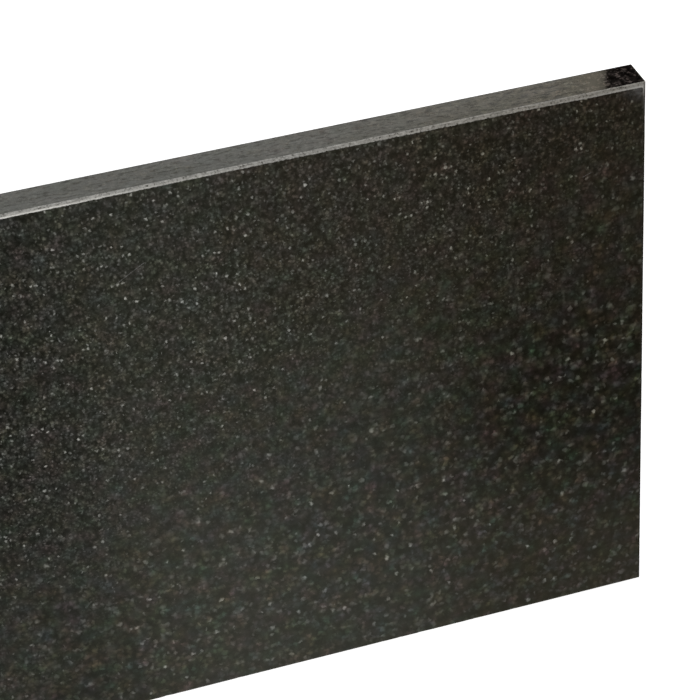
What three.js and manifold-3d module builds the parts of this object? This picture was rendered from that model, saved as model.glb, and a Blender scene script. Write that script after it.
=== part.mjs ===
// Granite slab: one monolithic block of dark, fine-grained stone, standing on a
// long edge. Millimetres, +Z up.
//
// Frame: +X runs along the long edge, +Y runs through the thickness from the
// polished working face (at -Y) to the sawn back (at +Y), +Z is up. The origin
// is the middle of the bottom edge.
//
// A slab like this is one piece of stone: it has no casing, feet, inserts or
// fasteners, so the scene graph holds a single mesh.
import * as THREE from "three";
import { mergeVertices } from "three/addons/utils/BufferGeometryUtils.js";
import Module from "manifold-3d";

// ---- driving dimensions (mm) ----
const LENGTH = 400; // long side, X
const HEIGHT = 300; // short side, Z
const THICKNESS = 18; // nominal "2 cm" stock, Y
const FACE_ARRIS = 1.6; // ground 45 degree arris round the polished face
const BACK_ARRIS = 0.5; // eased arris round the sawn back
const CORNER_NIP = 0.5; // 45 degree nip on the four corners of the outline
const OVERRUN = 10; // how far a blank runs past the faces that it doesn't make

const STONE = { color: 0x34352f, roughness: 0.28, metalness: 0.0 };

// Rectangle in the slab's own plane, centred in X and standing on Z = 0, with
// its corners cut off by nip. Drawn as (X, Z).
function outline(nip) {
  const hx = LENGTH / 2;
  const s = new THREE.Shape();
  if (nip > 0) {
    s.moveTo(-hx + nip, 0);
    s.lineTo(hx - nip, 0);
    s.lineTo(hx, nip);
    s.lineTo(hx, HEIGHT - nip);
    s.lineTo(hx - nip, HEIGHT);
    s.lineTo(-hx + nip, HEIGHT);
    s.lineTo(-hx, HEIGHT - nip);
    s.lineTo(-hx, nip);
  } else {
    s.moveTo(-hx, 0);
    s.lineTo(hx, 0);
    s.lineTo(hx, HEIGHT);
    s.lineTo(-hx, HEIGHT);
  }
  return s;
}

// An upright blank from yFront (low) to yBack (high), with the same arris on
// both of its faces. The extrusion runs along -Y after the turn.
function blank(yFront, yBack, arris, nip) {
  const g = new THREE.ExtrudeGeometry(outline(nip), {
    depth: yBack - yFront - 2 * arris,
    steps: 1,
    bevelEnabled: arris > 0,
    bevelThickness: arris,
    bevelSize: arris,
    bevelOffset: -arris,
    bevelSegments: 1,
    curveSegments: 1,
  });
  g.rotateX(Math.PI / 2);
  g.translate(0, yBack - arris, 0);
  return g;
}

const wasm = await Module();
wasm.setup();

function solid(geometry) {
  const g = geometry.clone();
  g.deleteAttribute("normal");
  g.deleteAttribute("uv");
  const m = mergeVertices(g, 1e-4);
  return new wasm.Manifold(
    new wasm.Mesh({
      numProp: 3,
      vertProperties: new Float32Array(m.attributes.position.array),
      triVerts: new Uint32Array(m.index.array),
    }),
  );
}

function geometryOf(manifold) {
  const mesh = manifold.getMesh();
  const g = new THREE.BufferGeometry();
  g.setAttribute(
    "position",
    new THREE.BufferAttribute(new Float32Array(mesh.vertProperties), 3),
  );
  g.setIndex(new THREE.BufferAttribute(new Uint32Array(mesh.triVerts), 1));
  g.computeVertexNormals();
  return g;
}

// Three blanks meet to make the slab. One gives the wide arris on the polished
// face and runs past the back, one gives the narrow arris on the back and runs
// past the face, and one nips the four corners all the way through.
const yFace = -THICKNESS / 2;
const yBack = THICKNESS / 2;
const faceBlank = solid(blank(yFace, yBack + OVERRUN, FACE_ARRIS, 0));
const backBlank = solid(blank(yFace - OVERRUN, yBack, BACK_ARRIS, 0));
const nipBlank = solid(blank(yFace - OVERRUN, yBack + OVERRUN, 0, CORNER_NIP));
const slabSolid = faceBlank.intersect(backBlank).intersect(nipBlank);

const slab = new THREE.Mesh(
  geometryOf(slabSolid),
  new THREE.MeshStandardMaterial(STONE),
);
slab.name = "granite_slab";

const part = new THREE.Group();
part.add(slab);

export default part;
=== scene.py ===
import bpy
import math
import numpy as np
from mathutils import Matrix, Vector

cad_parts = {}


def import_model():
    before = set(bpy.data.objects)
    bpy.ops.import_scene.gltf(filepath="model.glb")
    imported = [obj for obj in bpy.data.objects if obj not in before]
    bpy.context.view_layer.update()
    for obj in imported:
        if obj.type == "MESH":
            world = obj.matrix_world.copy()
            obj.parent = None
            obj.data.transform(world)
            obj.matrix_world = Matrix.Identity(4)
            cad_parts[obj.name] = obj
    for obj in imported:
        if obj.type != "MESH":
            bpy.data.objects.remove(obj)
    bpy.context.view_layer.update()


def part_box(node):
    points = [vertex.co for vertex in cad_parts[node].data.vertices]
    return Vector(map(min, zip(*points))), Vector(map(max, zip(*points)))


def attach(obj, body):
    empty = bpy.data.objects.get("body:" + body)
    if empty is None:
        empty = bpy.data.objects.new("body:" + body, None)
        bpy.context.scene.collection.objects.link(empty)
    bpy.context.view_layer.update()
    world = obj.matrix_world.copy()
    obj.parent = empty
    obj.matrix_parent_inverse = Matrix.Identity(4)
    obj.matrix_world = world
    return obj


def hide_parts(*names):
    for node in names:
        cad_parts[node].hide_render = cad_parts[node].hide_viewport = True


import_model()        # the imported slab: one CAD node, one body ("root")

# Granite slab, 400 x 18 x 300 mm, standing on a long edge. Metres, +Z up.
# The stone is rebuilt as one fine mesh inside the CAD box: a dead flat polished
# face, polished edges, hand-ground arrises that wander in width, small chips and
# a sawn back. Its grain is a solid texture, so it runs through from face to edge
# to back as it does in real stone.

scene = bpy.context.scene
LO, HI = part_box("granite_slab")
MM = 0.001
HX = (HI.x - LO.x) / 2 / MM          # half length
HT = (HI.z - LO.z) / MM              # height
YF, YB = LO.y / MM, HI.y / MM        # polished face, back


# ---------------------------------------------------------------- camera
def make_camera():
    """The camera at the fitted viewing angle: rows are its right, down and forward directions."""
    rows = (
        Vector((0.9611957, -0.2654156, -0.0752157)),
        Vector((-0.2165518, -0.5570260, -0.8017651)),
        Vector((0.1709038, 0.7869413, -0.5928872)),
    )
    m = Matrix((rows[0], -rows[1], -rows[2])).transposed().to_4x4()
    m.translation = Vector((-0.1063121, -0.7491995, 0.7485546))
    data = bpy.data.cameras.new("camera")
    data.sensor_width = 36.0
    data.lens = 104.3295
    data.clip_start, data.clip_end = 0.05, 60.0
    cam = bpy.data.objects.new("camera", data)
    scene.collection.objects.link(cam)
    cam.matrix_world = m
    scene.camera = cam


make_camera()

# ---------------------------------------------------------------- the stone's mesh
rng = np.random.default_rng(20417)
NX, NZ = 384, 288                    # stations along the long and short sides
ROW = 8                              # stations to one row of the face grid
CORNER_R = 0.5                       # worn radius of the four outer corners
BESIDE = 0.70                        # how far past the arris its bruising can reach on the face, mm


def smooth_noise(n, period, seed, closed=False):
    """Smooth noise of about unit size at n + 1 places, with bumps `period` places long."""
    r = np.random.default_rng(seed)
    k = max(4, int(round(n / period)) + 3)
    v = r.normal(0, 1, k)
    t = np.linspace(0, k - 3.001, n + 1)
    i = t.astype(int)
    f = t - i
    a, b, c, d = v[i], v[i + 1], v[np.minimum(i + 2, k - 1)], v[np.minimum(i + 3, k - 1)]
    f2, f3 = f * f, f * f * f
    return ((1 - 3 * f + 3 * f2 - f3) * a + (4 - 6 * f2 + 3 * f3) * b + (1 + 3 * f + 3 * f2 - 3 * f3) * c + f3 * d) / 6


def along(length, n):
    """Where the stations of one side lie, from its first corner, in mm. The two nearest each corner carry its worn radius."""
    r = CORNER_R
    near = [r * (1 - math.sin(math.pi / 4)), r * (1 - math.sin(math.pi / 8)), r]
    mid = np.linspace(near[2], length - near[2], n - 3)[1:-1]
    return np.concatenate([near, mid, [length - x for x in reversed(near)]])


def corner_drop(n):
    """How far the worn corners pull each station in from its side."""
    r = CORNER_R
    e = np.zeros(n + 1)
    e[0] = e[-1] = r * (1 - math.cos(math.pi / 4))
    e[1] = e[-2] = r * (1 - math.cos(math.pi / 8))
    return e


# Sides in order round the outline: bottom, right, top, left.
SIDES = (
    dict(name="bottom", n=NX, length=2 * HX),
    dict(name="right", n=NZ, length=HT),
    dict(name="top", n=NX, length=2 * HX),
    dict(name="left", n=NZ, length=HT),
)


def chips(n, count, big, seed):
    """Small spalls along an arris: how much each one widens it, by station."""
    r = np.random.default_rng(seed)
    out = np.zeros(n + 1)
    x = np.arange(n + 1)
    for _ in range(count):
        c, w, h = r.uniform(4, n - 4), r.uniform(0.7, 1.9), big * r.uniform(0.25, 1.0) ** 2
        out = np.maximum(out, h * np.clip(1 - ((x - c) / w) ** 2, 0, 1))
    return out


# The top arris of the polished face was ground freehand. It is widest at the
# right-hand end and narrowest a little left of the middle. X is from the right
# end of the slab; the width is what it takes off the polished face.
TOP_X = np.array([-400, -330, -282, -260, -226, -182, -137, -92, -55, -31, -22, -15, -9, 0], float)
TOP_W = np.array([1.35, 1.30, 1.27, 1.26, 1.12, 1.06, 1.14, 1.41, 1.34, 1.68, 1.78, 1.68, 1.73, 1.88])
TOP_DX = np.array([-400, -281, -230, -170, -120, -60, -31, -20, -12, 0], float)
TOP_D = np.array([1.24, 1.22, 1.12, 0.90, 0.94, 0.98, 0.98, 0.92, 0.86, 0.86])

for k, s in enumerate(SIDES):
    n = s["n"]
    s["a"] = along(s["length"], n)
    s["e"] = corner_drop(n)
    slow, fine = smooth_noise(n, 42, 100 + k), smooth_noise(n, 4, 200 + k)
    if s["name"] == "top":           # stations run from the right end to the left
        x = -s["a"]
        face = np.interp(x, TOP_X, TOP_W) + 0.03 * slow + 0.025 * fine
        side = np.interp(x, TOP_DX, TOP_D) + 0.03 * smooth_noise(n, 30, 300) + 0.02 * fine
        spall = chips(n, 26, 0.25, 41)
    else:
        base = {"bottom": 1.25, "right": 1.2, "left": 1.35}[s["name"]]
        face = base + 0.09 * slow + 0.02 * fine
        side = base + 0.09 * smooth_noise(n, 36, 310 + k) + 0.02 * smooth_noise(n, 5, 320 + k)
        spall = chips(n, 22, 0.45, 42 + k)
    s["face"] = np.maximum(face, 0.5) + spall
    s["side"] = np.maximum(side, 0.5) + 0.35 * spall
    eased = 0.30 if s["name"] == "top" else 0.50
    s["back"] = eased * (1 + 0.12 * smooth_noise(n, 25, 400 + k) + 0.04 * smooth_noise(n, 3, 410 + k)) + chips(n, 24, 0.6 if s["name"] != "top" else 0.10, 60 + k)


def bezier(a, b, c, t):
    return (1 - t) ** 2 * a + 2 * t * (1 - t) * b + t * t * c


def sections(s):
    """The cross-section of one side as rings from the polished face round to the back.
    Each is (inset from the side, y) by station, both in mm."""
    f, d, b = s["face"], s["side"], s["back"]
    out = []
    p = np.stack([f, np.full_like(f, YF)])                      # face meets arris
    q = np.stack([np.zeros_like(f), YF + d])                    # arris meets side
    run = q - p
    size = np.hypot(*run)
    u = run / size
    t1, t2 = 0.22, 0.16                                         # worn lips
    a1 = p + np.stack([np.full_like(f, t1), np.zeros_like(f)])
    out.append(("face", a1 + np.stack([np.full_like(f, BESIDE), np.zeros_like(f)])))
    for t in (0, 1 / 3, 2 / 3, 1):
        out.append(("lip", bezier(a1, p, p + u * t1, t)))
    out.append(("arris", p + run * 0.35))
    out.append(("arris", p + run * 0.68))
    b2 = q + np.stack([np.zeros_like(f), np.full_like(f, t2)])
    for t in (0, 1 / 3, 2 / 3, 1):
        out.append(("edge_lip", bezier(q - u * t2, q, b2, t)))
    out.append(("side", b2 + np.stack([np.zeros_like(f), np.full_like(f, 0.18)])))
    last = YB - b - 0.42
    for t in (0.25, 0.5, 0.75, 1.0):
        out.append(("side", np.stack([np.zeros_like(f), (YF + d + 0.5) * (1 - t) + last * t])))
    r = np.stack([np.zeros_like(f), YB - b])                    # the back arris is rolled over, not flat
    w = np.stack([b, np.full_like(f, YB)])
    corner = np.stack([np.zeros_like(f), np.full_like(f, YB)])
    for t in (0, 0.2, 0.4, 0.6, 0.8, 1):
        out.append(("back_arris", bezier(r, corner, w, t)))
    c2 = w
    out.append(("back", c2 + np.stack([np.full_like(f, 0.25), np.zeros_like(f)])))
    return out


SEC = [sections(s) for s in SIDES]
RINGS = len(SEC[0])
PER = 2 * (NX + NZ)


def ring(k):
    """The points of ring k, once round from the bottom left corner."""
    pts = np.zeros((PER, 3))
    ins = [SEC[j][k][1][0] for j in range(4)]
    ys = [SEC[j][k][1][1] for j in range(4)]
    at = 0
    for j, s in enumerate(SIDES):
        n = s["n"]
        before, after = ins[(j + 3) % 4][-1], ins[(j + 1) % 4][0]
        room = s["length"] - before - after
        pos = before + s["a"] * (room / s["length"])
        dep = ins[j] + s["e"]
        y = ys[j].copy()
        y[0] = (y[0] + ys[(j + 3) % 4][-1]) / 2
        if j == 0:
            x, z = -HX + pos, dep
        elif j == 1:
            x, z = HX - dep, pos
        elif j == 2:
            x, z = HX - pos, HT - dep
        else:
            x, z = -HX + dep, HT - pos
        pts[at:at + n, 0], pts[at:at + n, 1], pts[at:at + n, 2] = x[:n], y[:n], z[:n]
        at += n
    # the corner stations take their place from both of their sides
    c = [0, NX, NX + NZ, 2 * NX + NZ]
    e = CORNER_R * (1 - math.sin(math.pi / 4))
    pts[c[0], 0], pts[c[0], 2] = -HX + ins[3][-1] + e, ins[0][0] + e
    pts[c[1], 0], pts[c[1], 2] = HX - ins[1][0] - e, ins[0][-1] + e
    pts[c[2], 0], pts[c[2], 2] = HX - ins[1][-1] - e, HT - ins[2][0] - e
    pts[c[3], 0], pts[c[3], 2] = -HX + ins[3][0] + e, HT - ins[2][-1] - e
    return pts


verts, faces, mats = [], [], []
ring_start = []
for k in range(RINGS):
    ring_start.append(len(verts))
    verts.extend(ring(k).tolist())
POLISHED, SAWN = 0, 1
kinds = [SEC[0][k][0] for k in range(RINGS)]
for k in range(RINGS - 1):
    a, b = ring_start[k], ring_start[k + 1]
    m = SAWN if kinds[k + 1] == "back" else POLISHED
    for i in range(PER):
        j = (i + 1) % PER
        faces.append((a + i, a + j, b + j, b + i))
        mats.append(m)


def saw(x, z):
    """How deep the saw left the back below its high spots, in mm: shallow arcs from the disc."""
    t = x + 0.00042 * (z - 120.0) ** 2
    w = 0.5 + 0.5 * np.sin(t * 2 * math.pi / 11.3 + 1.4 * np.sin(t / 27.0))
    v = 0.5 + 0.5 * np.sin(t * 2 * math.pi / 4.7 + 2.0 * np.sin(t / 13.0) + 1.0)
    return 0.012 + 0.055 * w ** 3 + 0.03 * v ** 2 + 0.015 * (1 + np.sin(t / 41.0 + z / 170.0))


def panel(start, y, relief, flip):
    """Fills the inside of a ring with columns at every station and rows at every ROW-th, which get finer towards the two short sides to meet its stations."""
    idx = start + np.arange(PER)
    bottom = np.concatenate([idx[0:NX], [idx[NX]]])
    right = np.concatenate([idx[NX:NX + NZ], [idx[NX + NZ]]])
    top = np.concatenate([idx[NX + NZ:2 * NX + NZ], [idx[2 * NX + NZ]]])[::-1]
    left = np.concatenate([idx[2 * NX + NZ:], [idx[0]]])[::-1]
    v = np.array(verts)
    step = {0: 1, 1: 2, 2: 4}
    cols = []
    lz, rz = v[left][:, 2], v[right][:, 2]
    for i in range(NX + 1):
        if i == 0:
            cols.append(list(left))
            continue
        if i == NX:
            cols.append(list(right))
            continue
        d = step.get(min(i, NX - i), ROW)
        rows = np.arange(0, NZ + 1, d)
        zb, zt = v[bottom[i], 2], v[top[i], 2]
        xb, xt = v[bottom[i], 0], v[top[i], 0]
        f = i / NX
        frac = (lz * (1 - f) + rz * f)[rows]
        frac = (frac - frac[0]) / (frac[-1] - frac[0])
        col = [int(bottom[i])]
        for t in frac[1:-1]:
            px, pz = xb * (1 - t) + xt * t, zb * (1 - t) + zt * t
            if relief:
                edge = min(1.0, px + HX - 1.5, HX - px - 1.5, (pz - 1.5) * 4, (HT - pz - 1.5) * 4)
                py = y - float(saw(px, pz)) * max(0.0, min(1.0, edge / 3.0 + 0.67))
            else:
                py = y
            col.append(len(verts))
            verts.append([px, py, pz])
        col.append(int(top[i]))
        cols.append(col)

    def add(f):
        faces.append(tuple(reversed(f)) if flip else tuple(f))
        mats.append(SAWN if relief else POLISHED)

    for i in range(NX):
        a, b = cols[i], cols[i + 1]
        na, nb = len(a) - 1, len(b) - 1
        if na == nb:
            for j in range(na):
                add((a[j], b[j], b[j + 1], a[j + 1]))
        elif na > nb:                  # two on the left to one on the right
            for j in range(nb):
                add((a[2 * j], b[j], a[2 * j + 1]))
                add((a[2 * j + 1], b[j], b[j + 1], a[2 * j + 2]))
        else:
            for j in range(na):
                add((b[2 * j], b[2 * j + 1], a[j]))
                add((a[j], b[2 * j + 1], b[2 * j + 2], a[j + 1]))


panel(ring_start[0], YF, False, False)
panel(ring_start[-1], YB, True, True)

mesh = bpy.data.meshes.new("granite_slab_stone")
mesh.from_pydata([(x * MM, y * MM, z * MM) for x, y, z in verts], [], faces)
mesh.validate()
stone = bpy.data.objects.new("granite_slab_stone", mesh)
scene.collection.objects.link(stone)
mesh.polygons.foreach_set("use_smooth", [True] * len(mesh.polygons))
mesh.polygons.foreach_set("material_index", mats)

# Face winding: outwards everywhere.
import bmesh
bm = bmesh.new()
bm.from_mesh(mesh)
bmesh.ops.recalc_face_normals(bm, faces=bm.faces)
if bm.calc_volume(signed=True) < 0:
    bmesh.ops.reverse_faces(bm, faces=bm.faces)
open_edges = sum(1 for e in bm.edges if len(e.link_faces) != 2)
print("stone: verts", len(bm.verts), "faces", len(bm.faces), "open edges", open_edges, "litres", round(bm.calc_volume() * 1000, 4))
bm.to_mesh(mesh)
bm.free()

# How the stone is finished, by vertex: "band" is 1 on the ground arrises and falls
# to 0 beside them, "arris" is how strongly each is ground and so how pale, with painted light
# in it (the top arris, lit from above, palest, the right one nearly dark), "lip" its bruised lips,
# which are also painted pale as highlights, "edge" the polished sides, and "worn" the dull rolled edge round the back.
band, arris, lip, edge, worn = (np.zeros(len(verts)) for _ in range(5))
for k in range(RINGS):
    at = ring_start[k]
    kind = kinds[k]
    beside = kind == "face" or (kind == "side" and kinds[k - 1] == "edge_lip")
    for j, s in enumerate(SIDES):
        n = s["n"]
        sl = slice(at, at + n)
        name = s["name"]
        x = -s["a"][:n]                    # mm from the right-hand end, on the top
        down = HT - s["a"][:n]             # mm below the top, on the right
        if kind in ("lip", "arris", "edge_lip") or beside:
            band[sl] = 0.0 if beside else 1.0
            # painted light as well as grinding: the top arris, lit from above, is made the palest and the right one
            # nearly as dark as the face
            arris[sl] = {"top": 1.0, "right": 0.05, "bottom": 0.3, "left": 0.6}[name]
            if name == "right":            # it is pale only near the top corner
                arris[sl] = np.interp(down, [0, 2, 4, 5.5, 10, 13, 20], [1.0, 0.95, 0.75, 0.42, 0.30, 0.08, 0.04])
            # painted highlight, partly also bruising: the lips of the top arris are made pale where they catch the
            # lamps, most at the left end, with a weaker second line along the upper lip towards the right end; the
            # right arris's lips are pale only near the top corner
            if name == "top" and kind == "lip":
                lip[sl] = np.interp(x, [-400, -282, -250, -226, -190, -150, -90, -45, -25, -12, 0], [0.9, 0.8, 0.55, 0.30, 0.10, 0.04, 0.05, 0.12, 0.28, 0.42, 0.50])
            if name == "top" and kind == "edge_lip":
                lip[sl] = np.interp(x, [-400, -150, -60, -30, 0], [0.0, 0.05, 0.12, 0.22, 0.34])
            if name == "right" and kind in ("lip", "arris"):
                lip[sl] = np.interp(down, [0, 2, 5], [0.40, 0.30, 0.0])
        if kind in ("side", "edge_lip"):
            edge[sl] = 1.0
        if kind == "back_arris":
            worn[sl] = 1.0
        at += n
for name, values in (("band", band), ("arris", arris), ("lip", lip), ("edge", edge), ("worn", worn)):
    att = mesh.attributes.new(name, "FLOAT", "POINT")
    att.data.foreach_set("value", values.astype(np.float32))


# ---------------------------------------------------------------- materials
class Nodes:
    """Short names for building a node tree."""

    def __init__(self, tree):
        self.t = tree
        self.x = 0

    def new(self, kind, **props):
        n = self.t.nodes.new(kind)
        n.location = (self.x, 0)
        self.x += 40
        for k, v in props.items():
            setattr(n, k, v)
        return n

    def link(self, a, b):
        self.t.links.new(a, b)

    def put(self, socket, value):
        if isinstance(value, bpy.types.NodeSocket):
            self.link(value, socket)
        else:
            socket.default_value = value

    def math(self, op, a, b=0.0, c=None, clamp=False):
        n = self.new("ShaderNodeMath", operation=op, use_clamp=clamp)
        self.put(n.inputs[0], a)
        self.put(n.inputs[1], b)
        if c is not None:
            self.put(n.inputs[2], c)
        return n.outputs[0]

    def vmath(self, op, a, b=None, scale=None):
        n = self.new("ShaderNodeVectorMath", operation=op)
        self.put(n.inputs[0], a)
        if b is not None:
            self.put(n.inputs[1], b)
        if scale is not None:
            self.put(n.inputs["Scale"], scale)
        return n.outputs[0]

    def noise(self, vec, scale, detail=2.0, rough=0.5, colour=False):
        n = self.new("ShaderNodeTexNoise", noise_dimensions="3D")
        self.put(n.inputs["Vector"], vec)
        n.inputs["Scale"].default_value = scale
        n.inputs["Detail"].default_value = detail
        n.inputs["Roughness"].default_value = rough
        return n.outputs["Color" if colour else "Fac"]

    def cells(self, vec, scale, feature="F1", randomness=1.0):
        n = self.new("ShaderNodeTexVoronoi", voronoi_dimensions="3D", feature=feature)
        self.put(n.inputs["Vector"], vec)
        n.inputs["Scale"].default_value = scale
        n.inputs["Randomness"].default_value = randomness
        return n

    def split(self, colour):
        n = self.new("ShaderNodeSeparateColor")
        self.put(n.inputs[0], colour)
        return n.outputs

    def map(self, v, a, b, c=0.0, d=1.0, smooth=False):
        n = self.new("ShaderNodeMapRange", interpolation_type="SMOOTHSTEP" if smooth else "LINEAR")
        self.put(n.inputs["Value"], v)
        self.put(n.inputs["From Min"], a)
        self.put(n.inputs["From Max"], b)
        self.put(n.inputs["To Min"], c)
        self.put(n.inputs["To Max"], d)
        return n.outputs[0]

    def ramp(self, v, stops, mode="LINEAR"):
        n = self.new("ShaderNodeValToRGB")
        n.color_ramp.interpolation = mode
        e = n.color_ramp.elements
        while len(e) < len(stops):
            e.new(0.5)
        for el, (p, c) in zip(e, stops):
            el.position = p
            el.color = (*c, 1.0)
        self.put(n.inputs[0], v)
        return n.outputs["Color"]

    def mix(self, fac, a, b, mode="MIX"):
        n = self.new("ShaderNodeMix", data_type="RGBA", blend_type=mode)
        self.put(n.inputs[0], fac)
        self.put(n.inputs[6], a)
        self.put(n.inputs[7], b)
        return n.outputs[2]

    def attribute(self, name):
        n = self.new("ShaderNodeAttribute", attribute_type="GEOMETRY", attribute_name=name)
        return n.outputs["Fac"]


def grey(v, tint=(1.0, 1.0, 1.0)):
    return (v * tint[0], v * tint[1], v * tint[2])


def blobs(N, q, pitch, chance, radius, power, low, high, seed, bias=None):
    """Soft-edged crystals about `pitch` mm apart: the share of sites that hold one, their radius in pitches, and the spread of their brightness. Gives their cover and their brightness."""
    c = N.cells(N.vmath("ADD", q, (seed * 17.3, seed * 31.7, seed * 5.9)), 1 / pitch)
    r = N.split(c.outputs["Color"])
    pick = r[0] if bias is None else N.math("ADD", r[0], bias)
    here = N.map(pick, 1 - chance, 1 - chance + 0.04)
    size = N.map(r[1], 0.0, 1.0, *radius)
    cover = N.map(c.outputs["Distance"], size, N.math("MULTIPLY", size, 0.12), 0.0, 1.0, smooth=True)
    return N.math("MULTIPLY", here, cover), N.map(N.math("POWER", r[2], power), 0.0, 1.0, low, high)


def grain(N, p, scale, seed, paler):
    """One grain size: the ground mass, the paler crystals over it, and the cover of the palest."""
    g = N.vmath("ADD", N.vmath("MULTIPLY", p, (scale, scale, 0.90 * scale)), (seed * 7.1, seed * 3.3, seed * 5.7))
    wobble = N.vmath("SUBTRACT", N.noise(g, 0.75, 1.0, 0.5, colour=True), (0.5, 0.5, 0.5))
    q = N.vmath("ADD", g, N.vmath("SCALE", wobble, scale=1.7))
    bias = N.math("MULTIPLY", N.math("SUBTRACT", N.noise(g, 1 / 6.5, 2.0, 0.55), 0.5), 1.0)

    # ground mass: rounded granules of dark pyroxene, cloudy from one place to the next
    cloud = N.math("POWER", N.map(N.noise(g, 0.34, 2.0, 0.55), 0.28, 0.76, 0.0, 1.0), 1.6)
    c = N.cells(q, 1 / 1.5)
    bead = N.map(c.outputs["Distance"], 0.80, 0.10, 0.0, 1.0, smooth=True)
    bead = N.math("MULTIPLY", bead, N.math("POWER", N.split(c.outputs["Color"])[2], 1.4))
    mass = N.math("ADD", N.math("MULTIPLY", cloud, 0.36), N.math("MULTIPLY", bead, N.math("ADD", 0.35, N.math("MULTIPLY", cloud, 1.1))))
    mass = N.math("ADD", MASS_LOW, N.math("MULTIPLY", mass, MASS_HIGH))

    # grey plagioclase, then fewer pale grains
    a, av = blobs(N, q, *GREY, seed + 1.0, bias)
    b, bv = blobs(N, q, *PALE, seed + 2.0, bias)
    keep = N.math("SUBTRACT", 1.0, b)
    over = N.math("ADD", N.math("MULTIPLY", N.math("MULTIPLY", a, av), keep), N.math("MULTIPLY", b, N.math("ADD", N.math("MULTIPLY", bv, paler), mass)))
    return q, N.math("MULTIPLY", mass, keep), over, b


def granite(N):
    """The stone's body colour in linear light. Everything is in mm of the stone's own coordinates."""
    co = N.new("ShaderNodeTexCoord").outputs["Object"]
    p = N.vmath("SCALE", co, scale=1000.0)
    xyz = N.new("ShaderNodeSeparateXYZ")
    N.put(xyz.inputs[0], p)
    x, y, z = xyz.outputs
    # the grain grades from fine, high up at the left, to coarser, low down at the right
    layer = N.math("ADD", N.math("MULTIPLY", x, 0.0022), N.math("MULTIPLY", N.math("SUBTRACT", 256.0, z), 0.0042))
    layer = N.math("ADD", layer, N.math("MULTIPLY", N.math("SUBTRACT", N.noise(p, 1 / 30.0, 2.0, 0.5), 0.5), 0.6))
    layer = N.map(layer, 0.22, 0.78, 0.0, 1.0)
    q, mass1, over1, b1 = grain(N, p, FINE, 0.0, 1.05)
    _, mass2, over2, b2 = grain(N, p, COARSE, 5.0, 0.98)

    def graded(u, v):
        return N.math("ADD", N.math("MULTIPLY", u, N.math("SUBTRACT", 1.0, layer)), N.math("MULTIPLY", v, layer))

    mass, over, b = graded(mass1, mass2), graded(over1, over2), graded(b1, b2)

    # slow drift of depth and of hue, red-brown to olive: stronger in the dark mass than in the grains
    drift = N.split(N.noise(p, 1 / 10.5, 1.0, 0.5, colour=True))
    depth = N.map(drift[1], 0.3, 0.7, 0.80, 1.21)
    rusty = N.math("MULTIPLY", N.map(x, 60.0, 190.0, 0.0, 1.0), N.map(z, 150.0, 280.0, 0.0, 1.0))
    rusty = N.math("MAXIMUM", rusty, N.math("MULTIPLY", N.map(x, -20.0, 140.0, 0.0, 0.75), N.map(z, 222.0, 275.0, 0.0, 1.0)))
    vivid = N.math("ADD", 0.60, N.math("MULTIPLY", layer, 0.75))
    warm = N.math("ADD", N.math("MULTIPLY", N.map(drift[0], 0.3, 0.7, -1.0, 1.0), vivid), N.math("MULTIPLY", rusty, 0.8))
    green = N.math("MULTIPLY", N.map(drift[2], 0.3, 0.7, -1.0, 1.0), vivid)

    def tinted(value, base, by_warm, by_green):
        c = N.new("ShaderNodeCombineColor")
        for i in range(3):
            N.put(c.inputs[i], N.math("ADD", N.math("ADD", base[i], N.math("MULTIPLY", warm, by_warm[i])), N.math("MULTIPLY", green, by_green[i])))
        return N.vmath("SCALE", c.outputs[0], scale=N.math("MULTIPLY", value, depth))

    dark = tinted(mass, (1.01, 1.0, 0.84), (0.22, -0.04, -0.04), (-0.04, 0.05, -0.14))
    light = tinted(over, (1.00, 1.0, 0.91), (0.05, -0.01, -0.02), (-0.01, 0.01, -0.04))
    blue = N.math("MULTIPLY", N.map(x, 50.0, 110.0, 0.0, 1.0), N.map(z, 60.0, 120.0, 0.0, 1.0))
    body = N.mix(blue, N.vmath("ADD", dark, light), N.mix(1.0, N.vmath("ADD", dark, light), (1.0, 1.0, 0.92, 1.0), "MULTIPLY"))
    return p, q, body, b


# The two grain scales; depth of the ground mass; then for each kind of grain its
# pitch in mm, share of sites, radius in pitches, and how its brightness is spread.
FINE, COARSE = 1.02, 0.53
MASS_LOW, MASS_HIGH = 0.003, 0.080
GREY = (1.7, 0.52, (0.34, 0.64), 1.8, 0.008, 0.110)
PALE = (2.5, 0.34, (0.24, 0.48), 2.0, 0.03, 0.34)


def hairline(N, p, a, b, width):
    """Cover of one hairline scratch on the polished face, from a to b (x, z in mm)."""
    flat = N.vmath("MULTIPLY", p, (1.0, 0.0, 1.0))
    start = (a[0], 0.0, a[1])
    run = (b[0] - a[0], 0.0, b[1] - a[1])
    size2 = run[0] ** 2 + run[2] ** 2
    off = N.vmath("SUBTRACT", flat, start)
    dot = N.new("ShaderNodeVectorMath", operation="DOT_PRODUCT")
    N.put(dot.inputs[0], off)
    N.put(dot.inputs[1], run)
    t = N.math("MULTIPLY", dot.outputs["Value"], 1 / size2, clamp=True)
    at = N.new("ShaderNodeVectorMath", operation="SCALE")
    N.put(at.inputs[0], run)
    N.put(at.inputs["Scale"], t)
    gap = N.new("ShaderNodeVectorMath", operation="LENGTH")
    N.put(gap.inputs[0], N.vmath("SUBTRACT", off, at.outputs[0]))
    return N.map(gap.outputs["Value"], width, 0.3 * width, 0.0, 1.0)


# Where each scratch starts and ends on the polished face (x, z in mm), and its width.
HAIRLINES = (
    ((-47.4, 253.8), (-33.4, 261.9), 0.30),
    ((169.7, 257.7), (174.0, 259.3), 0.26),
)


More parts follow.
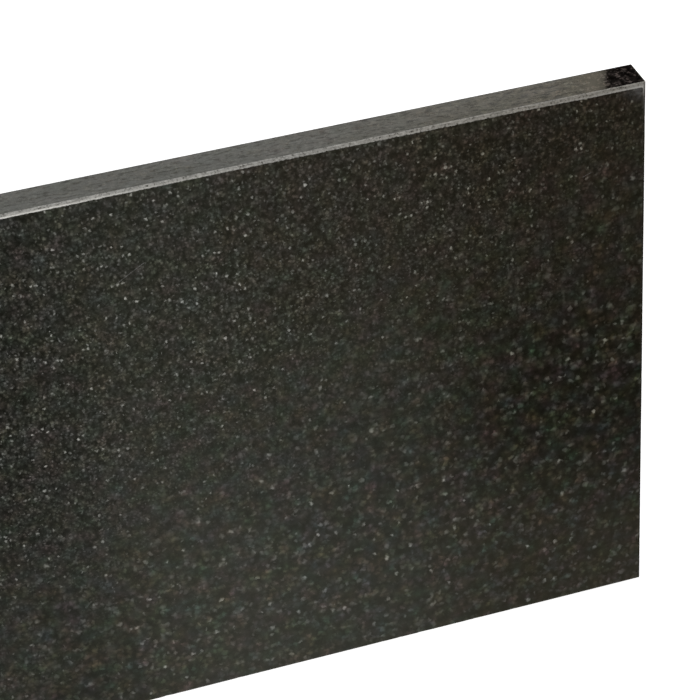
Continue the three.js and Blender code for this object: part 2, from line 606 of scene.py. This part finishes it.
def polished_stone():
    m = bpy.data.materials.new("polished_granite")
    m.use_nodes = True
    m.node_tree.nodes.clear()
    N = Nodes(m.node_tree)
    p, q, body, grain = granite(N)
    on_band, ground_by, on_lip, on_edge, on_worn = (N.attribute(a) for a in ("band", "arris", "lip", "edge", "worn"))
    # the ground band breaks up grain by grain at its limits
    crumble = N.noise(p, 0.9, 2.0, 0.6)
    on_arris = N.math("MULTIPLY", ground_by, N.map(N.math("ADD", on_band, N.math("MULTIPLY", N.math("SUBTRACT", crumble, 0.5), 1.5)), 0.64, 1.04, smooth=True))

    # polishing haze along the edges, partly painted reflection: faint pale streaks that run with the edge stand in for
    # the streaks of light in the polish; and dull spots where the last polish missed
    xyz = N.new("ShaderNodeSeparateXYZ")
    N.put(xyz.inputs[0], p)
    streak = N.noise(N.vmath("MULTIPLY", p, (0.06, 0.9, 0.9)), 1.0, 2.0, 0.6)
    swath = N.noise(N.vmath("MULTIPLY", p, (0.012, 0.16, 0.16)), 1.0, 1.0, 0.5)
    blotch = N.noise(p, 0.16, 2.0, 0.5)
    haze_sheen_streaks = N.math("ADD", N.math("ADD", N.math("MULTIPLY", streak, 0.42), N.math("MULTIPLY", swath, 0.42)), N.math("MULTIPLY", blotch, 0.36))
    fade = N.math("MULTIPLY", on_edge, N.map(xyz.outputs["X"], 178.0, 160.0, 0.0, 1.0, smooth=True))
    # the middle of the streaked track is clearer, and it wanders towards the arris at the right
    track = N.math("SUBTRACT", xyz.outputs["Y"], N.math("ADD", N.map(xyz.outputs["X"], -80.0, 118.0, 0.7, -5.4), N.map(swath, 0.3, 0.7, -1.2, 1.2)))
    clear = N.math("MULTIPLY", N.map(N.math("ABSOLUTE", track), 0.5, 4.6, 1.0, 0.0, smooth=True), N.map(blotch, 0.35, 0.6, 0.6, 1.0))
    haze_sheen_level = N.math("ADD", N.map(haze_sheen_streaks, 0.46, 0.74, -0.010, 0.046), N.math("MULTIPLY", N.math("SUBTRACT", 1.0, clear), 0.022))
    haze_and_painted_sheen = N.math("MULTIPLY", fade, N.math("MAXIMUM", haze_sheen_level, 0.0))
    dull = N.noise(N.vmath("MULTIPLY", p, (0.30, 1.0, 1.0)), 0.7, 3.0, 0.6)
    dull = N.math("MULTIPLY", fade, N.map(dull, 0.46, 0.60, 0.0, 1.0))
    # ground band: the crushed surface scatters light, so it is a pale grey that hides most of the grain
    rub_at = N.vmath("MULTIPLY", p, (0.14, 2.2, 2.2))
    rub = N.noise(rub_at, 1.0, 4.0, 0.65)
    speck = N.noise(p, 0.8, 2.0, 0.6)
    ground = N.ramp(N.math("ADD", N.math("MULTIPLY", rub, 0.55), N.math("MULTIPLY", speck, 0.45)), [(0.34, (0.130, 0.128, 0.120)), (0.66, (0.405, 0.397, 0.376))])
    # painted light: towards its right end the band is made a shade less pale, as if less lit; it also turns a little
    # warmer there
    ground = N.vmath("SCALE", ground, scale=N.map(xyz.outputs["X"], 26.0, 175.0, 1.36, 1.32))
    ground = N.mix(N.map(xyz.outputs["X"], 40.0, 150.0, 0.0, 1.0), ground, N.mix(1.0, ground, (1.04, 1.0, 0.955, 1.0), "MULTIPLY"))
    ground = N.mix(N.map(xyz.outputs["X"], 60.0, 180.0, 0.90, 0.76), body, ground)
    lum = N.split(body)[1]
    deep = N.math("MULTIPLY", N.map(lum, 0.012, 0.07, -0.50, 0.62), N.map(xyz.outputs["X"], 120.0, 188.0, 0.10, 1.0))
    # no grain on the edges is as pale as the palest on the face
    tame = N.math("DIVIDE", N.math("MINIMUM", lum, 0.062), N.math("MAXIMUM", lum, 0.001))
    tame = N.math("MULTIPLY", tame, N.math("ADD", 1.0, deep))
    stone = N.vmath("SCALE", body, scale=N.math("ADD", 1.0, N.math("MULTIPLY", on_edge, N.math("SUBTRACT", tame, 1.0))))
    # at the right end of the top edge the grains are a more even purplish brown
    plain = N.math("MULTIPLY", on_edge, N.map(xyz.outputs["X"], 178.0, 186.0, 0.0, 0.82, smooth=True))
    even = N.math("MULTIPLY", N.split(stone)[1], 1.22)
    stone = N.mix(plain, stone, N.mix(1.0, N.mix(0.0, even, even), (1.23, 1.0, 0.92, 1.0), "MULTIPLY"))
    colour = N.mix(on_arris, stone, ground)
    # the lips: bruised stone, with a near-white painted highlight where they catch the light
    lip_highlight_mottle = N.noise(N.vmath("MULTIPLY", p, (0.25, 1.0, 1.0)), 0.9, 3.0, 0.6)
    lip_bruise_and_highlight = N.math("MULTIPLY", N.math("MULTIPLY", on_lip, N.map(on_band, 0.80, 1.0)), N.map(lip_highlight_mottle, 0.3, 0.6, 0.6, 1.0))
    colour = N.mix(lip_bruise_and_highlight, colour, (0.80, 0.785, 0.74, 1.0))
    # the haze and painted reflection streaks on the polished edges, added to the colour
    colour = N.mix(1.0, colour, N.mix(0.0, haze_and_painted_sheen, haze_and_painted_sheen), "ADD")
    # the face is scuffed beside its top right corner
    sx = N.math("MULTIPLY", N.math("SUBTRACT", xyz.outputs["X"], 199.0), 1 / 1.3)
    sz = N.math("SUBTRACT", xyz.outputs["Z"], 298.0)
    reach = N.math("SQRT", N.math("ADD", N.math("MULTIPLY", sx, sx), N.math("MULTIPLY", sz, sz)))
    scuff = N.math("MULTIPLY", N.map(reach, 9.0, 1.0, 0.0, 1.0, smooth=True), N.map(N.noise(p, 0.7, 2.0, 0.6), 0.36, 0.62, 0.25, 1.0))
    scuff = N.math("MULTIPLY", scuff, N.math("MULTIPLY", N.math("SUBTRACT", 1.0, on_edge), 0.12))
    colour = N.mix(1.0, colour, N.mix(0.0, scuff, scuff), "ADD")
    # two hairline scratches on the face
    lines = None
    for a, b, w in HAIRLINES:
        h = hairline(N, p, a, b, w)
        lines = h if lines is None else N.math("MAXIMUM", lines, h)
    broken = N.map(N.noise(p, 0.7, 2.0, 0.6), 0.38, 0.62, 0.15, 1.0)
    scratch = N.math("MULTIPLY", N.math("MULTIPLY", lines, broken), 0.11)
    colour = N.mix(1.0, colour, N.mix(0.0, scratch, scratch), "ADD")

    rough = N.math("ADD", N.math("SUBTRACT", 0.06, N.math("MULTIPLY", on_edge, 0.035)), N.math("MULTIPLY", on_arris, 0.42))
    rough = N.math("ADD", rough, N.math("MULTIPLY", dull, 0.55))
    rough = N.math("MAXIMUM", rough, N.math("MULTIPLY", on_worn, 0.9))

    bump = N.new("ShaderNodeBump")
    bump.inputs["Strength"].default_value = 0.35
    bump.inputs["Distance"].default_value = 0.00004
    N.put(bump.inputs["Height"], N.math("MULTIPLY", rub, on_arris))

    b = N.new("ShaderNodeBsdfPrincipled")
    N.put(b.inputs["Base Color"], colour)
    N.put(b.inputs["Roughness"], rough)
    b.inputs["IOR"].default_value = 1.55
    N.put(b.inputs["Normal"], bump.outputs[0])
    out = N.new("ShaderNodeOutputMaterial")
    N.link(b.outputs[0], out.inputs["Surface"])
    return m


def sawn_stone():
    m = bpy.data.materials.new("sawn_granite")
    m.use_nodes = True
    m.node_tree.nodes.clear()
    N = Nodes(m.node_tree)
    p, q, body, grain = granite(N)
    # a sawn surface is dry and crushed: paler, with its grain half hidden
    dust = N.noise(p, 0.35, 4.0, 0.6)
    pale = N.ramp(dust, [(0.3, (0.085, 0.086, 0.082)), (0.7, (0.15, 0.15, 0.143))])
    lifted = N.mix(1.0, body, (2.4, 2.4, 2.4, 1.0), "MULTIPLY")
    colour = N.mix(0.62, lifted, pale)
    # fine saw scores that run with the disc
    sep = N.new("ShaderNodeSeparateXYZ")
    N.put(sep.inputs[0], p)
    arc = N.math("ADD", sep.outputs["X"], N.math("MULTIPLY", N.math("POWER", N.math("SUBTRACT", sep.outputs["Z"], 120.0), 2.0), 0.00042))
    comb = N.new("ShaderNodeCombineXYZ")
    N.put(comb.inputs["X"], arc)
    N.put(comb.inputs["Z"], N.math("MULTIPLY", sep.outputs["Z"], 0.012))
    score = N.noise(comb.outputs[0], 1.5, 5.0, 0.65)
    broad = N.noise(comb.outputs[0], 0.12, 3.0, 0.55)
    colour = N.mix(N.map(score, 0.4, 0.75, 0.0, 0.35), colour, (0.2, 0.2, 0.19, 1.0))
    shade = N.map(broad, 0.3, 0.7, 0.85, 1.12)
    colour = N.mix(1.0, colour, N.mix(0.0, shade, shade), "MULTIPLY")
    grit = N.noise(q, 2.2, 3.0, 0.6)
    height = N.math("ADD", N.math("MULTIPLY", score, 0.7), N.math("MULTIPLY", grit, 0.5))
    bump = N.new("ShaderNodeBump")
    bump.inputs["Strength"].default_value = 0.7
    bump.inputs["Distance"].default_value = 0.00012
    N.put(bump.inputs["Height"], height)
    b = N.new("ShaderNodeBsdfPrincipled")
    N.put(b.inputs["Base Color"], colour)
    N.put(b.inputs["Roughness"], N.map(grit, 0.3, 0.7, 0.55, 0.75))
    b.inputs["IOR"].default_value = 1.5
    N.put(b.inputs["Normal"], bump.outputs[0])
    out = N.new("ShaderNodeOutputMaterial")
    N.link(b.outputs[0], out.inputs["Surface"])
    return m


mesh.materials.append(polished_stone())
mesh.materials.append(sawn_stone())
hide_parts("granite_slab")
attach(stone, "root")


# ---------------------------------------------------------------- floor, world, light
def floor():
    m = bpy.data.meshes.new("floor")
    r = 8.0
    m.from_pydata([(-r, -r, 0), (r, -r, 0), (r, r, 0), (-r, r, 0)], [], [(0, 1, 2, 3)])
    o = bpy.data.objects.new("floor", m)
    scene.collection.objects.link(o)
    mat = bpy.data.materials.new("pale_floor")
    mat.use_nodes = True
    b = mat.node_tree.nodes["Principled BSDF"]
    b.inputs["Base Color"].default_value = (0.8, 0.8, 0.8, 1.0)
    b.inputs["Roughness"].default_value = 0.9
    b.inputs["Specular IOR Level"].default_value = 0.0
    b.inputs["Emission Color"].default_value = (1.0, 1.0, 1.0, 1.0)
    b.inputs["Emission Strength"].default_value = 0.85
    m.materials.append(mat)
    o.visible_glossy = False
    o.visible_diffuse = False


floor()


AMBIENT = 0.12


def world():
    """An even white studio for the camera and for diffuse light. In the polish it is a pale wall behind and above, with the straight edge of a black flag to the right, and a dim foreground."""
    w = bpy.data.worlds.new("studio")
    scene.world = w
    w.use_nodes = True
    w.node_tree.nodes.clear()
    w.cycles.sampling_method = "NONE"
    N = Nodes(w.node_tree)
    d = N.new("ShaderNodeTexCoord").outputs["Generated"]
    sep = N.new("ShaderNodeSeparateXYZ")
    N.put(sep.inputs[0], d)
    x, y, z = sep.outputs
    deg = 180 / math.pi
    el = N.math("MULTIPLY", N.math("ARCSINE", z), deg)
    back = N.math("MULTIPLY", N.math("ARCTAN2", x, y), deg)                              # bearing from +Y
    front = N.math("MULTIPLY", N.math("ARCTAN2", x, N.math("MULTIPLY", y, -1.0)), deg)   # bearing from -Y

    wall = N.mix(N.map(back, 9.0, 21.0, smooth=True), (0.985, 0.992, 0.905, 1.0), (0.965, 0.892, 0.716, 1.0))
    sway = N.math("MULTIPLY", N.math("SUBTRACT", 1.0, N.math("COSINE", N.math("MULTIPLY", N.math("SUBTRACT", el, 29.03), 2 * math.pi / 0.36))), 0.033)
    hem = N.math("ADD", back, sway)          # the cloth edge isn't quite straight
    near_flag = N.map(hem, 20.88, 21.19, 1.0, 0.72, smooth=True)
    flag = N.math("MULTIPLY", N.map(hem, 21.185, 21.225, smooth=True), N.map(back, 28.0, 26.0, smooth=True))
    wall = N.vmath("SCALE", wall, scale=N.math("MULTIPLY", near_flag, N.math("SUBTRACT", 1.0, flag)))
    up = N.map(el, 0.0, 24.0, 0.0, 1.0, smooth=True)

    # foreground: brighter low down and left of the middle, darker to the right
    lit = N.math("ADD", N.map(el, -32.0, -38.0, 0.255, 0.315), N.map(el, -38.0, -43.0, 0.0, 0.185))
    foot = N.map(el, -40.0, -42.0, 0.0, 1.0, smooth=True)
    left = N.math("ADD", N.math("MULTIPLY", N.map(front, -0.5, 5.5, 0.38, 1.0, smooth=True), N.math("SUBTRACT", 1.0, foot)), N.math("MULTIPLY", N.map(front, 0.0, 7.0, 0.60, 1.0, smooth=True), foot))
    pool = N.math("MULTIPLY", N.map(front, 1.0, 4.5, 0.0, 1.0, smooth=True), N.map(front, 12.0, 7.5, 0.0, 1.0, smooth=True))
    pool = N.math("MULTIPLY", pool, N.map(el, -38.5, -41.5, 0.0, 0.13, smooth=True))
    lit = N.math("MULTIPLY", lit, N.math("ADD", left, pool))
    dim = N.math("ADD", N.map(el, -33.0, -37.0, 0.125, 0.088), N.map(el, -38.0, -42.5, 0.0, 0.225, smooth=True))
    side = N.map(front, 12.5, 18.5, 0.0, 1.0, smooth=True)
    amber = N.math("MULTIPLY", N.map(el, -36.5, -34.5, 0.0, 1.0, smooth=True), N.map(front, 6.5, 11.0, 0.0, 1.0, smooth=True))
    lit = N.math("MULTIPLY", lit, N.math("SUBTRACT", 1.0, N.math("MULTIPLY", amber, 0.16)))
    low = N.math("ADD", N.math("MULTIPLY", lit, N.math("SUBTRACT", 1.0, side)), N.math("MULTIPLY", dim, side))
    low = N.math("MAXIMUM", low, 0.06)
    ahead = N.map(y, 0.02, -0.10, 0.0, 1.0, smooth=True)
    low = N.math("ADD", N.math("MULTIPLY", low, ahead), N.math("MULTIPLY", N.math("SUBTRACT", 1.0, ahead), 0.04))
    high = N.map(el, -40.0, -36.5, 0.0, 1.0, smooth=True)
    cool = N.mix(high, (0.99, 1.0, 0.79, 1.0), (0.97, 1.0, 0.71, 1.0))
    brown = N.mix(high, (1.09, 1.0, 0.70, 1.0), (1.15, 1.0, 0.61, 1.0))
    low_tint = N.mix(side, N.mix(amber, cool, (1.10, 1.0, 0.68, 1.0)), brown)
    low = N.vmath("SCALE", low_tint, scale=low)
    seen = N.mix(up, low, wall)
    glossy = N.new("ShaderNodeBackground")
    N.put(glossy.inputs["Color"], seen)
    even = N.new("ShaderNodeBackground")
    even.inputs["Color"].default_value = (1.0, 1.0, 1.0, 1.0)
    even.inputs["Strength"].default_value = AMBIENT
    white = N.new("ShaderNodeBackground")
    white.inputs["Color"].default_value = (1.0, 1.0, 1.0, 1.0)
    path = N.new("ShaderNodeLightPath")
    mix = N.new("ShaderNodeMixShader")
    N.link(path.outputs["Is Glossy Ray"], mix.inputs[0])
    N.link(even.outputs[0], mix.inputs[1])
    N.link(glossy.outputs[0], mix.inputs[2])
    last = N.new("ShaderNodeMixShader")
    N.link(path.outputs["Is Camera Ray"], last.inputs[0])
    N.link(mix.outputs[0], last.inputs[1])
    N.link(white.outputs[0], last.inputs[2])
    out = N.new("ShaderNodeOutputWorld")
    N.link(last.outputs[0], out.inputs["Surface"])


world()


def softbox(name, at, target, size, watts):
    data = bpy.data.lights.new(name, "AREA")
    data.shape = "RECTANGLE"
    data.size, data.size_y = size
    data.energy = watts
    o = bpy.data.objects.new(name, data)
    scene.collection.objects.link(o)
    o.location = at
    o.rotation_mode = "QUATERNION"
    o.rotation_quaternion = (Vector(target) - Vector(at)).to_track_quat("-Z", "Y")
    o.visible_camera = False
    o.visible_glossy = False
    return o


softbox("key", (-0.11, -0.38, 0.215), (-0.10, 0.0, 0.14), (0.30, 0.30), 1.38)
softbox("top", (0.05, 0.06, 1.0), (0.05, 0.0, 0.3), (0.50, 0.50), 2.2)
softbox("fill", (0.9, 1.2, 0.40), (0.0, 0.0, 0.15), (1.0, 1.0), 9.0)

scene.view_settings.view_transform = "Standard"
scene.view_settings.look = "None"
scene.view_settings.exposure = 0.0
scene.view_settings.gamma = 1.0
